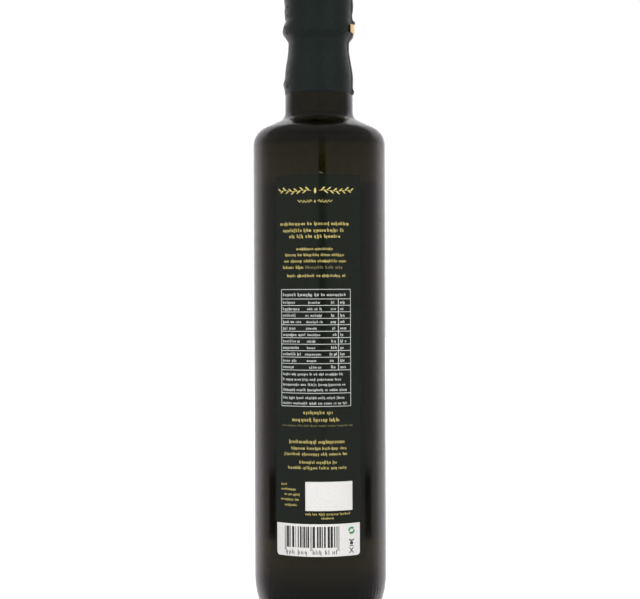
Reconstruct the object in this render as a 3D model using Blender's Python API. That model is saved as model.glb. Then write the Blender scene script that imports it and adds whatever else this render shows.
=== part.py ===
"""An olive oil bottle: dark glass, the oil in it, a closure under a shrink capsule, and two labels.

Metres, +Z up. The origin is the middle of the foot, and the back label faces -Y.
"""

import math

import bmesh
import bpy

MM = 0.001
SEGMENTS = 48
SHARP_ANGLE = math.radians(35)
TOUCH_GAP = 0.3 * MM

# Foot and heel of the glass
PUNT_RISE = 4.0 * MM
BEARING_INNER_RADIUS = 18.3 * MM
BEARING_OUTER_RADIUS = 22.8 * MM
HEEL_HEIGHT = 19.0 * MM

# Body, shoulder and neck of the glass
BODY_RADIUS = 31.0 * MM
SHOULDER_START = 220.8 * MM
SHOULDER_RADIUS = 8.9 * MM
SHOULDER_SLOPE = 25
NECK_RADIUS = 15.95 * MM
NECK_FILLET = 5.2 * MM
NECK_TOP = 243.0 * MM

# Wall and inside of the glass
WALL = 3.8 * MM
NECK_WALL = 3.2 * MM
INNER_HEEL_WIDTH = 12.0 * MM
INNER_HEEL_HEIGHT = 10.0 * MM
INNER_FLOOR = 8.5 * MM
INNER_PUNT_RISE = 2.0 * MM
BORE_TAPER_TOP = 271.0 * MM
BORE_RADIUS = 9.6 * MM
MOUTH_HEIGHT = 300.8 * MM
MOUTH_ROUNDING = 0.6 * MM
FINISH_RADIUS = 13.4 * MM
FINISH_START = 279.0 * MM
OIL_LEVEL = 246.0 * MM

# Shrink capsule
FILM = 0.4 * MM
CAPSULE_BOTTOM = 244.2 * MM
CAPSULE_TOP = 303.0 * MM
CAPSULE_TOP_ROUNDING = 1.3 * MM
CAPSULE_ROW = 1.75 * MM
FOOT_RADIUS = 16.0 * MM
WAIST_RADIUS = 14.1 * MM
RING_RADIUS = 16.5 * MM
NOTCH_RADIUS = 15.35 * MM
HEAD_RADIUS = 15.95 * MM
SEAM_ANGLE = -11
SEAM_HALF_WIDTH = 8
SEAM_LIFT = 0.2 * MM

# Closure
CAP_BOTTOM = 279.7 * MM
CAP_WALL = 0.9 * MM
CAP_TOP_THICKNESS = 1.2 * MM

# Tear tab
TAB_BOTTOM = 274.4 * MM
TAB_TOP = 277.9 * MM
TAB_WIDTH = 3.6 * MM
TAB_THICKNESS = 0.25 * MM
TAB_ANGLE = -20
TAB_CORNER = 0.5 * MM

# Labels
LABEL_THICKNESS = 0.2 * MM
LABEL_BOTTOM = 32.1 * MM
LABEL_TOP = 204.2 * MM
LABEL_CORNER = 1.5 * MM
BACK_LABEL_WIDTH = 40.9 * MM
BACK_LABEL_ANGLE = -91.5
FRONT_LABEL_WIDTH = 60.0 * MM
FRONT_LABEL_ANGLE = 90

# Heights at which the film changes radius, from its foot to its head
FILM_STATIONS = (
    (CAPSULE_BOTTOM, FOOT_RADIUS),
    (251.5 * MM, FOOT_RADIUS),
    (266.0 * MM, WAIST_RADIUS),
    (269.0 * MM, WAIST_RADIUS),
    (271.4 * MM, RING_RADIUS),
    (277.0 * MM, RING_RADIUS),
    (278.9 * MM, NOTCH_RADIUS),
    (280.2 * MM, HEAD_RADIUS),
    (CAPSULE_TOP, HEAD_RADIUS),
)

# Puckers of the film: angle in degrees, height, half width in degrees, half height and lift
PUCKERS = (
    (180, 249.1 * MM, 24, 2.1 * MM, 0.75 * MM),
    (180, 261.5 * MM, 40, 7.0 * MM, 0.35 * MM),
    (185, 274.3 * MM, 30, 2.6 * MM, 0.75 * MM),
    (172, 283.6 * MM, 26, 1.7 * MM, 0.25 * MM),
    (184, 289.0 * MM, 30, 2.2 * MM, 0.35 * MM),
    (-6, 278.7 * MM, 11, 1.3 * MM, 1.30 * MM),
    (-8, 285.8 * MM, 16, 2.6 * MM, 0.25 * MM),
    (-11, 245.0 * MM, 9, 1.5 * MM, 0.45 * MM),
    (70, 274.0 * MM, 25, 2.4 * MM, 0.50 * MM),
    (115, 250.0 * MM, 20, 2.0 * MM, 0.45 * MM),
    (60, 287.5 * MM, 26, 2.2 * MM, 0.30 * MM),
)


def clear_scene():
    for item in list(bpy.data.objects):
        bpy.data.objects.remove(item, do_unlink=True)


def principled(name, colour, roughness, metallic=0.0, transmission=0.0, ior=1.5):
    material = bpy.data.materials.new(name)
    material.use_nodes = True
    shader = material.node_tree.nodes["Principled BSDF"]
    shader.inputs["Base Color"].default_value = (*colour, 1.0)
    shader.inputs["Roughness"].default_value = roughness
    shader.inputs["Metallic"].default_value = metallic
    shader.inputs["Transmission Weight"].default_value = transmission
    shader.inputs["IOR"].default_value = ior
    return material


def finished(name, mesh, material, parent):
    """Turns a bmesh into a smooth-shaded object."""
    bmesh.ops.recalc_face_normals(mesh, faces=mesh.faces)
    data = bpy.data.meshes.new(name)
    mesh.to_mesh(data)
    mesh.free()
    data.shade_smooth()
    data.set_sharp_from_angle(angle=SHARP_ANGLE)
    data.materials.append(material)
    piece = bpy.data.objects.new(name, data)
    piece.parent = parent
    bpy.context.scene.collection.objects.link(piece)
    return piece


def arc(centre, radii, start, end, steps):
    """Points of (radius, height) along an ellipse's arc, with its angles in degrees."""
    turns = [math.radians(start + (end - start) * step / steps) for step in range(steps + 1)]
    return [
        (centre[0] + radii[0] * math.cos(turn), centre[1] + radii[1] * math.sin(turn))
        for turn in turns
    ]


def turned(outline):
    """A closed surface turned round Z from an outline that starts and ends on the axis."""
    mesh = bmesh.new()
    points = [mesh.verts.new((radius, 0.0, height)) for radius, height in outline]
    edges = [mesh.edges.new(pair) for pair in zip(points, points[1:])]
    bmesh.ops.spin(
        mesh,
        geom=points + edges,
        cent=(0.0, 0.0, 0.0),
        axis=(0.0, 0.0, 1.0),
        angle=math.tau,
        steps=SEGMENTS,
        use_merge=True,
    )
    bmesh.ops.remove_doubles(mesh, verts=mesh.verts, dist=0.001 * MM)
    return mesh


def eased(share):
    """A smooth step from 0 to 1."""
    share = min(max(share, 0.0), 1.0)
    return share * share * (3.0 - 2.0 * share)


def film_radius(height):
    """The outer radius of the plain film, before its seam and puckers."""
    if height <= FILM_STATIONS[0][0]:
        return FILM_STATIONS[0][1]
    for (low, low_radius), (high, high_radius) in zip(FILM_STATIONS, FILM_STATIONS[1:]):
        if height <= high:
            share = eased((height - low) / (high - low))
            return low_radius + (high_radius - low_radius) * share
    return FILM_STATIONS[-1][1]


def turn_between(first, second):
    """The smallest angle between two directions, in degrees, with its sign."""
    return (first - second + 180) % 360 - 180


def film_lift(angle, height):
    """How far the seam and the puckers lift the film off its plain shape."""
    lift = SEAM_LIFT * (abs(turn_between(angle, SEAM_ANGLE)) < SEAM_HALF_WIDTH)
    for middle, level, half_width, half_height, most in PUCKERS:
        across = turn_between(angle, middle) / half_width
        along = (height - level) / half_height
        lift += most * math.exp(-across * across - along * along)
    return lift


def shoulder(wall, neck_wall, steps):
    """The shoulder's arc and the fillet into the neck, each offset inwards by its wall."""
    sweep = 90 - SHOULDER_SLOPE
    slope = math.radians(SHOULDER_SLOPE)
    arc_centre = (BODY_RADIUS - SHOULDER_RADIUS, SHOULDER_START)
    arc_end_radius = arc_centre[0] + SHOULDER_RADIUS * math.sin(slope)
    arc_end_height = SHOULDER_START + SHOULDER_RADIUS * math.cos(slope)
    fillet_radius = NECK_RADIUS + NECK_FILLET
    rise = (NECK_FILLET - (fillet_radius - arc_end_radius) * math.sin(slope)) / math.cos(slope)
    fillet_centre = (fillet_radius, arc_end_height + rise)
    arc_radius = SHOULDER_RADIUS - wall
    fillet = NECK_FILLET + neck_wall
    return arc(arc_centre, (arc_radius, arc_radius), 0, sweep, steps) + arc(
        fillet_centre, (fillet, fillet), 180 + sweep, 180, steps
    )


def glass_outside():
    """The outer outline of the glass, from the middle of the punt up to the mouth."""
    punt = [
        (share * BEARING_INNER_RADIUS, PUNT_RISE * (1.0 - share * share))
        for share in (0.0, 0.5, 0.8)
    ]
    bearing = [(BEARING_INNER_RADIUS, 0.0)]
    heel = arc(
        (BEARING_OUTER_RADIUS, HEEL_HEIGHT),
        (BODY_RADIUS - BEARING_OUTER_RADIUS, HEEL_HEIGHT),
        -90,
        0,
        8,
    )
    neck = [(NECK_RADIUS, NECK_TOP)]
    backing = FILM + TOUCH_GAP
    under_film = [
        (film_radius(height) - backing, height)
        for height in (
            243.9 * MM,
            251.5 * MM,
            256.0 * MM,
            261.5 * MM,
            266.0 * MM,
            269.4 * MM,
            271.6 * MM,
            276.6 * MM,
            278.2 * MM,
        )
    ]
    finish = [
        (FINISH_RADIUS, FINISH_START),
        (FINISH_RADIUS, MOUTH_HEIGHT - MOUTH_ROUNDING),
        (FINISH_RADIUS - MOUTH_ROUNDING, MOUTH_HEIGHT),
    ]
    return punt + bearing + heel + shoulder(0.0, 0.0, 6) + neck + under_film + finish


def glass_inside(gap):
    """The inside outline of the glass, from the middle of its floor up, drawn in by gap."""
    corner_radius = BODY_RADIUS - WALL - INNER_HEEL_WIDTH
    corner_height = INNER_FLOOR + INNER_HEEL_HEIGHT
    floor = [
        (share * corner_radius, INNER_FLOOR + gap + INNER_PUNT_RISE * (1.0 - share * share))
        for share in (0.0, 0.6)
    ]
    heel = arc(
        (corner_radius, corner_height),
        (INNER_HEEL_WIDTH - gap, INNER_HEEL_HEIGHT - gap),
        -90,
        0,
        6,
    )
    wall = shoulder(WALL + gap, NECK_WALL + gap, 5)
    neck_radius = wall[-1][0]
    bore = [
        (neck_radius, CAPSULE_BOTTOM),
        (BORE_RADIUS - gap, BORE_TAPER_TOP),
        (BORE_RADIUS - gap, MOUTH_HEIGHT - MOUTH_ROUNDING),
        (BORE_RADIUS - gap + MOUTH_ROUNDING, MOUTH_HEIGHT),
    ]
    return floor + heel + wall + bore


def below(outline, level):
    """The outline up to a level, closed across to the axis there."""
    kept = [outline[0]]
    for (low_radius, low), (high_radius, high) in zip(outline, outline[1:]):
        if high > level:
            share = (level - low) / (high - low)
            kept.append((low_radius + (high_radius - low_radius) * share, level))
            break
        kept.append((high_radius, high))
    return kept + [(0.0, level)]


def build_glass(parent):
    outline = glass_outside() + list(reversed(glass_inside(0.0)))
    material = principled("dark_olive_glass", (0.030, 0.026, 0.008), 0.05, transmission=0.8)
    return finished("glass_bottle", turned(outline), material, parent)


def build_oil(parent):
    outline = below(glass_inside(TOUCH_GAP), OIL_LEVEL)
    material = principled("olive_oil", (0.45, 0.38, 0.03), 0.05, transmission=0.9, ior=1.47)
    return finished("oil", turned(outline), material, parent)


def build_cap(parent):
    """The closure: a turned cup, open below, over the mouth of the glass."""
    outer_radius = HEAD_RADIUS - FILM - TOUCH_GAP
    top = CAPSULE_TOP - FILM - TOUCH_GAP
    inner_radius = outer_radius - CAP_WALL
    inner_top = top - CAP_TOP_THICKNESS
    outline = [
        (0.0, inner_top),
        (inner_radius, inner_top),
        (inner_radius, CAP_BOTTOM),
        (outer_radius, CAP_BOTTOM),
        (outer_radius, top - CAPSULE_TOP_ROUNDING),
        (outer_radius - 0.4 * CAPSULE_TOP_ROUNDING, top - 0.4 * CAPSULE_TOP_ROUNDING),
        (outer_radius - CAPSULE_TOP_ROUNDING, top),
        (0.0, top),
    ]
    material = principled("gold_metal", (0.70, 0.50, 0.18), 0.3, metallic=1.0)
    return finished("cap", turned(outline), material, parent)


def build_capsule(parent):
    """The shrink film: a sleeve with a closed top, its seam down the +X side, and puckers."""
    inside_heights = (
        CAPSULE_BOTTOM,
        251.5 * MM,
        256.0 * MM,
        261.5 * MM,
        266.0 * MM,
        269.2 * MM,
        271.5 * MM,
        276.8 * MM,
        278.8 * MM,
        280.4 * MM,
        CAPSULE_TOP - CAPSULE_TOP_ROUNDING,
    )
    inside = [(film_radius(height) - FILM, height) for height in inside_heights]
    lid = inside[-1][0] - CAPSULE_TOP_ROUNDING + FILM
    roof = [(lid, CAPSULE_TOP - FILM), (0.0, CAPSULE_TOP - FILM)]
    straight = CAPSULE_TOP - CAPSULE_TOP_ROUNDING
    rows = round((straight - CAPSULE_BOTTOM) / CAPSULE_ROW)
    heights = [
        CAPSULE_BOTTOM + (straight - CAPSULE_BOTTOM) * row / rows for row in range(rows + 1)
    ]
    outside = [(film_radius(height), height) for height in heights]
    rim = arc(
        (HEAD_RADIUS - CAPSULE_TOP_ROUNDING, straight),
        (CAPSULE_TOP_ROUNDING, CAPSULE_TOP_ROUNDING),
        30,
        90,
        2,
    )
    outline = list(reversed(inside + roof)) + outside + rim + [(0.0, CAPSULE_TOP)]
    mesh = turned(outline)
    for point in mesh.verts:
        radius = math.hypot(point.co.x, point.co.y)
        on_film = radius > film_radius(point.co.z) - FILM / 2
        if on_film and point.co.z <= straight:
            angle = math.degrees(math.atan2(point.co.y, point.co.x))
            scale = 1.0 + film_lift(angle, point.co.z) / radius
            point.co.x *= scale
            point.co.y *= scale
    material = principled("capsule_film", (0.016, 0.025, 0.022), 0.4)
    return finished("capsule", mesh, material, parent)


def curved_plate(name, angle, width, span, inner_radius, thickness, corner, material, parent):
    """A plate with rounded corners, bent round the Z axis, its middle at angle in degrees."""
    low, high = span
    half = width / 2
    corner_steps = [corner * (1.0 - math.cos(math.radians(turn))) for turn in (0, 30, 60, 90)]
    middle_count = max(2, round((width - 2 * corner) / (inner_radius * math.tau / SEGMENTS)))
    middle = [
        corner + (width - 2 * corner) * step / middle_count for step in range(1, middle_count)
    ]
    places = corner_steps + middle + [width - step for step in reversed(corner_steps)]
    mesh = bmesh.new()
    columns = []
    for place in places:
        inward = max(corner - min(place, width - place), 0.0)
        trim = corner - math.sqrt(corner * corner - inward * inward)
        turn = math.radians(angle) + (place - half) / (inner_radius + thickness)
        columns.append(
            [
                mesh.verts.new((radius * math.cos(turn), radius * math.sin(turn), height))
                for radius, height in (
                    (inner_radius, low + trim),
                    (inner_radius, high - trim),
                    (inner_radius + thickness, high - trim),
                    (inner_radius + thickness, low + trim),
                )
            ]
        )
    mesh.faces.new(columns[0])
    mesh.faces.new(columns[-1])
    for left, right in zip(columns, columns[1:]):
        for corner_index in range(4):
            following = (corner_index + 1) % 4
            mesh.faces.new(
                (left[corner_index], left[following], right[following], right[corner_index])
            )
    return finished(name, mesh, material, parent)


def build_labels(parent):
    material = principled("label_film", (0.020, 0.024, 0.018), 0.45)
    inner_radius = BODY_RADIUS + TOUCH_GAP
    for name, angle, width in (
        ("back_label", BACK_LABEL_ANGLE, BACK_LABEL_WIDTH),
        ("front_label", FRONT_LABEL_ANGLE, FRONT_LABEL_WIDTH),
    ):
        curved_plate(
            name,
            angle,
            width,
            (LABEL_BOTTOM, LABEL_TOP),
            inner_radius,
            LABEL_THICKNESS,
            LABEL_CORNER,
            material,
            parent,
        )


def build_tear_tab(parent):
    """The end of the tear tape, which stands out over the film's ring beside the seam."""
    material = principled("gold_tape", (0.75, 0.55, 0.22), 0.35, metallic=0.8)
    return curved_plate(
        "tear_tab",
        TAB_ANGLE,
        TAB_WIDTH,
        (TAB_BOTTOM, TAB_TOP),
        RING_RADIUS + SEAM_LIFT + TOUCH_GAP,
        TAB_THICKNESS,
        TAB_CORNER,
        material,
        parent,
    )


def build():
    clear_scene()
    bottle = bpy.data.objects.new("olive_oil_bottle", None)
    bpy.context.scene.collection.objects.link(bottle)
    build_glass(bottle)
    build_oil(bottle)
    build_cap(bottle)
    build_capsule(bottle)
    build_labels(bottle)
    build_tear_tab(bottle)


build()
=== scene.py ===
"""The looks of the olive oil bottle: glass, oil, shrink capsule, tear tab and printed labels."""

import math
import random

import bmesh
import bpy
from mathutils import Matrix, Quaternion, Vector, noise


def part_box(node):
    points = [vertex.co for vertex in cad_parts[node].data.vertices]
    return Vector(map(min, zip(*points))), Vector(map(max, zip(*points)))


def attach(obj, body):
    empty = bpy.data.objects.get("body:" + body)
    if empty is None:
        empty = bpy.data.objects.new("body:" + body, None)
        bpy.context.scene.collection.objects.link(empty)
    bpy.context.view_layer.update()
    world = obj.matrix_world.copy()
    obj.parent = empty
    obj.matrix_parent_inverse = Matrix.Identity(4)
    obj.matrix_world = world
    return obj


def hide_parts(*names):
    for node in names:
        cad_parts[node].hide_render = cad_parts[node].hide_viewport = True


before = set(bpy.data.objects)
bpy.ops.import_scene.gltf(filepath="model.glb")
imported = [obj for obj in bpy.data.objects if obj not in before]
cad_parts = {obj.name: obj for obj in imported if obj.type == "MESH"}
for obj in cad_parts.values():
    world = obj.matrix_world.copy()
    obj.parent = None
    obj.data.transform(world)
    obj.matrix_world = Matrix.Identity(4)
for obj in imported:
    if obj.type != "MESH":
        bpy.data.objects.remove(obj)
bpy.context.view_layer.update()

MM = 0.001
GLASS_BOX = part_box("glass_bottle")
CAPSULE_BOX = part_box("capsule")
LABEL_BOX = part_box("back_label")

# The glass: as in the CAD, but with a lower shoulder and more glass inside shoulder and neck
BODY_RADIUS = GLASS_BOX[1][0]
MOUTH_HEIGHT = GLASS_BOX[1][2]
PUNT_RISE = 4.0 * MM
BEARING_INNER_RADIUS = 18.3 * MM
BEARING_OUTER_RADIUS = 22.8 * MM
HEEL_HEIGHT = 19.0 * MM
SHOULDER_START = 220.3 * MM
SHOULDER_RADIUS = 8.9 * MM
SHOULDER_SLOPE = 25
NECK_RADIUS = 15.95 * MM
NECK_FILLET = 5.2 * MM
WALL = 3.8 * MM
NECK_WALL = 7.8 * MM
SHOULDER_THICKENING = 1.8 * MM
INNER_HEEL_WIDTH = 12.0 * MM
INNER_HEEL_HEIGHT = 18.0 * MM
INNER_FLOOR = 8.5 * MM
INNER_PUNT_RISE = 2.0 * MM
BORE_TAPER_TOP = 271.0 * MM
BORE_RADIUS = 9.6 * MM
MOUTH_ROUNDING = 0.6 * MM
FINISH_RADIUS = 13.4 * MM
FINISH_START = 279.0 * MM
GLASS_STEPS = 360
PUNT_STEPS = 10
HEEL_STEPS = 28
BODY_ROWS = 24
SHOULDER_STEPS = 20
INNER_FLOOR_STEPS = 6
INNER_HEEL_STEPS = 18
INNER_SHOULDER_STEPS = 16
UNDER_FILM_ROWS = 40

# Bumps that the mould leaves on the heel, with angles and their half width in degrees
HEEL_MARK_ANGLES = (-134, -127, -55, -50, -45, -40, -35, -30, -25, 45, 52, 128, 135)
HEEL_MARK_HALF_WIDTH = 1.3
HEEL_MARK_HEIGHT = 13.4 * MM
HEEL_MARK_HALF_HEIGHT = 1.3 * MM
HEEL_MARK_REACH = 3.0
HEEL_MARK_LIFT = 0.2 * MM

# The oil
OIL_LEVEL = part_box("oil")[1][2]
OIL_INTO_WALL = 0.1 * MM
MENISCUS_WIDTH = 1.2 * MM
MENISCUS_SLOPE = 0.5

# The film: thinner than in the CAD, with a softer ring and more puckers. Angles in degrees
CAPSULE_BOTTOM = 244.2 * MM
NECK_END = CAPSULE_BOTTOM - 0.2 * MM
UNDER_FILM_START = CAPSULE_BOTTOM + 0.3 * MM
UNDER_FILM_END = 278.2 * MM
CAPSULE_TOP = CAPSULE_BOX[1][2]
CAPSULE_TOP_ROUNDING = 1.3 * MM
FILM = 0.2 * MM
FILM_BACKING = 0.3 * MM
FILM_ROW = 0.35 * MM
FILM_STEPS = 384
FOOT_RADIUS = 16.0 * MM
WAIST_RADIUS = 14.15 * MM
RING_RADIUS = 16.4 * MM
RING_CORE_RADIUS = 15.3 * MM
RING_CORE_START = 260.0 * MM
HEAD_RADIUS = 15.95 * MM
SEAM_EDGE = -17
SEAM_END = 22
SEAM_LIFT = 0.22 * MM
LID_LIP_WIDTH = 4.2 * MM
LID_LIP_RISE = 0.15 * MM
LID_LIP_SLOPE = 0.15 * MM
LID_LIP_FOOT = 0.2 * MM
LID_LIP_SOFTENING = 0.03 * MM
RIM_START = 12
RIM_STEPS = 7
CREASE_PATCHES_AROUND = 3.2
CREASE_PATCH_HEIGHT = 5.5 * MM
BROAD_CREASE = 0.07
FINE_CREASE = 0.03
FINE_CREASE_SCALE = 3.1
FINE_CREASE_OFFSET = (7.0, 3.0, 1.0)

FILM_STATIONS = (
    (CAPSULE_BOTTOM, FOOT_RADIUS),
    (251.5 * MM, FOOT_RADIUS),
    (265.8 * MM, WAIST_RADIUS),
    (268.1 * MM, WAIST_RADIUS),
    (273.4 * MM, RING_RADIUS),
    (275.5 * MM, RING_RADIUS),
    (279.6 * MM, HEAD_RADIUS),
    (CAPSULE_TOP, HEAD_RADIUS),
)

# Puckers of the film: angle in degrees, height, half width in degrees, half height and lift
PUCKERS = (
    (180, 249.1 * MM, 24, 2.1 * MM, 0.75 * MM),
    (180, 261.5 * MM, 40, 7.0 * MM, 0.35 * MM),
    (185, 274.1 * MM, 30, 2.2 * MM, 0.65 * MM),
    (180, 278.9 * MM, 28, 0.8 * MM, -0.45 * MM),
    (197, 275.6 * MM, 5, 0.6 * MM, 0.40 * MM),
    (201, 272.0 * MM, 5, 0.6 * MM, 0.30 * MM),
    (196, 280.9 * MM, 6, 0.5 * MM, 0.30 * MM),
    (199, 284.8 * MM, 5, 0.6 * MM, 0.30 * MM),
    (193, 286.9 * MM, 6, 0.5 * MM, -0.20 * MM),
    (200, 247.4 * MM, 6, 0.7 * MM, 0.35 * MM),
    (172, 283.6 * MM, 26, 1.7 * MM, 0.20 * MM),
    (184, 289.0 * MM, 30, 2.2 * MM, 0.35 * MM),
    (-6, 277.9 * MM, 9, 0.8 * MM, 1.05 * MM),
    (-2, 281.4 * MM, 16, 1.3 * MM, -0.30 * MM),
    (0, 270.9 * MM, 26, 1.3 * MM, 0.45 * MM),
    (-8, 285.8 * MM, 16, 2.6 * MM, 0.25 * MM),
    (-11, 245.3 * MM, 9, 1.2 * MM, 0.65 * MM),
    (70, 274.0 * MM, 25, 2.4 * MM, 0.50 * MM),
    (115, 250.0 * MM, 20, 2.0 * MM, 0.45 * MM),
    (60, 287.5 * MM, 26, 2.2 * MM, 0.30 * MM),
)

# The tear tab
TAB_BOTTOM = 272.3 * MM
TAB_TOP = 276.2 * MM
TAB_WIDTH = 5.0 * MM
TAB_THICKNESS = 0.25 * MM
TAB_ANGLE = -22
TAB_RADIUS = 17.0 * MM
TAB_CORNER = 0.5 * MM

# The labels and their print. A strip's and a box's columns are in millimetres, as the print is
LABEL_LIFT = 0.02 * MM
LABEL_THICKNESS = 0.12 * MM
LABEL_RADIUS = BODY_RADIUS + LABEL_LIFT + LABEL_THICKNESS
LABEL_BOTTOM = LABEL_BOX[0][2]
LABEL_TOP = LABEL_BOX[1][2]
LABEL_CORNER = 1.5 * MM
BACK_LABEL_WIDTH = 40.9 * MM
BACK_LABEL_ANGLE = -91.5
FRONT_LABEL_WIDTH = 60.0 * MM
FRONT_LABEL_ANGLE = 90
INK = 0.02 * MM
COLUMN = 1.0 * MM
STRIP_COLUMN = 1.2
BOX_COLUMN = 2.0
RING_OPENING = 0.02
LEAF_START = 0.02
LEAF_SHARE = 0.96
LEAF_FULLNESS = 0.8
LEAF_BASE = 1.15
LEAF_TAPER = 0.3

# Rows of ticks, as shares of the row's size. A choice lists a value more than once to draw it
# more often
TICK_WIDTH = 0.17
TICK_STEP = (1.6, 2.3)
TICK_COUNTS = (1, 2, 2, 2, 3)
FIRST_TICK_HEIGHTS = (0.76, 0.80, 1.15)
NEXT_TICK_HEIGHTS = (0.72, 0.76, 0.80)
TICK_DROPS = (0.0, 0.0, 0.0, 0.0, 0.0, 0.3)
LETTER_GAP = (0.08, 0.30)
WORD_GAP = 0.55


# Node helpers


def shader_of(name):
    material = bpy.data.materials.new(name)
    material.use_nodes = True
    return material, material.node_tree, material.node_tree.nodes["Principled BSDF"]


def put(tree, kind, inputs=None, **settings):
    """Adds a node, sets it up, and links or sets its inputs."""
    made = tree.nodes.new(kind)
    for name, value in settings.items():
        setattr(made, name, value)
    for name, value in (inputs or {}).items():
        if isinstance(value, bpy.types.NodeSocket):
            tree.links.new(value, made.inputs[name])
        else:
            made.inputs[name].default_value = value
    return made


def maths(tree, operation, first, second=0.0):
    return put(tree, "ShaderNodeMath", {0: first, 1: second}, operation=operation).outputs[0]


def ramp(tree, value, low, high, start=0.0, end=1.0):
    """A smooth change of value from start, at low, to end, at high."""
    made = put(
        tree,
        "ShaderNodeMapRange",
        {"Value": value, "From Min": low, "From Max": high, "To Min": start, "To Max": end},
        interpolation_type="SMOOTHSTEP",
    )
    return made.outputs["Result"]


def object_noise(tree, scale, detail=2.0, stretch=(1.0, 1.0, 1.0)):
    place = put(tree, "ShaderNodeTexCoord").outputs["Object"]
    moved = put(tree, "ShaderNodeMapping", {"Vector": place, "Scale": stretch}).outputs[0]
    return put(
        tree, "ShaderNodeTexNoise", {"Vector": moved, "Scale": scale, "Detail": detail}
    ).outputs["Fac"]


def mixed_colour(tree, share, first, second):
    made = put(tree, "ShaderNodeMix", {"Factor": share}, data_type="RGBA")
    made.inputs["A"].default_value = (*first, 1.0)
    made.inputs["B"].default_value = (*second, 1.0)
    return made.outputs["Result"]


def bumped(tree, shader, height, strength, distance):
    made = put(
        tree, "ShaderNodeBump", {"Height": height, "Strength": strength, "Distance": distance}
    )
    tree.links.new(made.outputs["Normal"], shader.inputs["Normal"])


# Materials

# Noise is a scale, a detail and a stretch. A bump is a strength and a depth. A volume's colour
# and density say what its thickness takes from light. Colours come in pairs, as noise mixes them
WHITE = (1.0, 1.0, 1.0, 1.0)
MIDDLE_NOISE = (0.3, 0.7)
UNEVEN = (-0.05, 0.08)
PLASTIC_INDEX = 1.5

GLASS_INDEX = 1.52
GLASS_VOLUME = {"Color": (0.242, 0.227, 0.0, 1.0), "Density": 330.0}
GLASS_SMEARS = (60.0, 3.0, (1.0, 1.0, 0.25))
GLASS_ROUGHNESS = (0.35, 0.75, 0.0, 0.02)
GLASS_WAVES = (45.0, 1.0, (1.0, 1.0, 0.3))
GLASS_BUMP = (0.03, 0.4 * MM)

OIL_INDEX = 1.47
OIL_VOLUME = {"Color": (0.545, 0.518, 0.0, 1.0), "Density": 110.0}
OIL_CLOUD = (30.0, 2.0)
OIL_BUMP = (0.01, 0.1 * MM)

FILM_PATCHES = (110.0, 3.0)
FILM_COLOURS = ((0.0032, 0.0072, 0.0058), (0.0050, 0.0100, 0.0080))
FILM_GRAIN = (420.0, 4.0)
FILM_ROUGHNESS = (0.30, 0.42)
FILM_CREASES = (260.0, 5.0, (1.0, 1.0, 0.35))
FILM_BUMP = (0.12, 0.15 * MM)

GOLD_WEAR = (500.0, 4.0)
GOLD_COLOURS = ((0.88, 0.60, 0.24), (0.98, 0.78, 0.44))
GOLD_METALLIC = 0.85
GOLD_BUMP = (0.08, 0.05 * MM)

LABEL_MOTTLE = (160.0, 4.0)
LABEL_COLOURS = ((0.0038, 0.0058, 0.0030), (0.0054, 0.0078, 0.0044))
LABEL_GRAIN = (900.0, 3.0)
LABEL_ROUGHNESS = (0.13, 0.20)
LABEL_BUMP = (0.04, 0.03 * MM)

INK_INDEX = 1.45
INK_COVER = (1400.0, 3.0)


def coloured(tree, shader, share, colours):
    tree.links.new(mixed_colour(tree, share, *colours), shader.inputs["Base Color"])


def roughened(tree, shader, share, least, most):
    rough = ramp(tree, share, *MIDDLE_NOISE, least, most)
    tree.links.new(rough, shader.inputs["Roughness"])


def clear_shader_of(name, index, volume):
    """Clear at its surface, and coloured by its thickness."""
    material, tree, shader = shader_of(name)
    shader.inputs["Base Color"].default_value = WHITE
    shader.inputs["Transmission Weight"].default_value = 1.0
    shader.inputs["IOR"].default_value = index
    taken = put(tree, "ShaderNodeVolumeAbsorption", volume)
    tree.links.new(taken.outputs[0], tree.nodes["Material Output"].inputs["Volume"])
    return material, tree, shader


def glass_material():
    material, tree, shader = clear_shader_of("dark_olive_glass", GLASS_INDEX, GLASS_VOLUME)
    smears = object_noise(tree, *GLASS_SMEARS)
    tree.links.new(ramp(tree, smears, *GLASS_ROUGHNESS), shader.inputs["Roughness"])
    bumped(tree, shader, object_noise(tree, *GLASS_WAVES), *GLASS_BUMP)
    return material


def oil_material():
    material, tree, shader = clear_shader_of("olive_oil", OIL_INDEX, OIL_VOLUME)
    shader.inputs["Roughness"].default_value = 0.0
    bumped(tree, shader, object_noise(tree, *OIL_CLOUD), *OIL_BUMP)
    return material


def film_material():
    """Dark green shrink film: satin, a little uneven, with fine creases."""
    material, tree, shader = shader_of("capsule_film")
    coloured(tree, shader, object_noise(tree, *FILM_PATCHES), FILM_COLOURS)
    shader.inputs["IOR"].default_value = PLASTIC_INDEX
    roughened(tree, shader, object_noise(tree, *FILM_GRAIN), *FILM_ROUGHNESS)
    bumped(tree, shader, object_noise(tree, *FILM_CREASES), *FILM_BUMP)
    return material


def gold_material(name, roughness):
    material, tree, shader = shader_of(name)
    wear = object_noise(tree, *GOLD_WEAR)
    coloured(tree, shader, wear, GOLD_COLOURS)
    shader.inputs["Metallic"].default_value = GOLD_METALLIC
    roughened(tree, shader, wear, roughness + UNEVEN[0], roughness + UNEVEN[1])
    bumped(tree, shader, wear, *GOLD_BUMP)
    return material


def label_material(name):
    """The label's dark printed film, with a faint mottle and a satin varnish."""
    material, tree, shader = shader_of(name)
    coloured(tree, shader, object_noise(tree, *LABEL_MOTTLE), LABEL_COLOURS)
    shader.inputs["IOR"].default_value = PLASTIC_INDEX
    grain = object_noise(tree, *LABEL_GRAIN)
    roughened(tree, shader, grain, *LABEL_ROUGHNESS)
    bumped(tree, shader, grain, *LABEL_BUMP)
    return material


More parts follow.
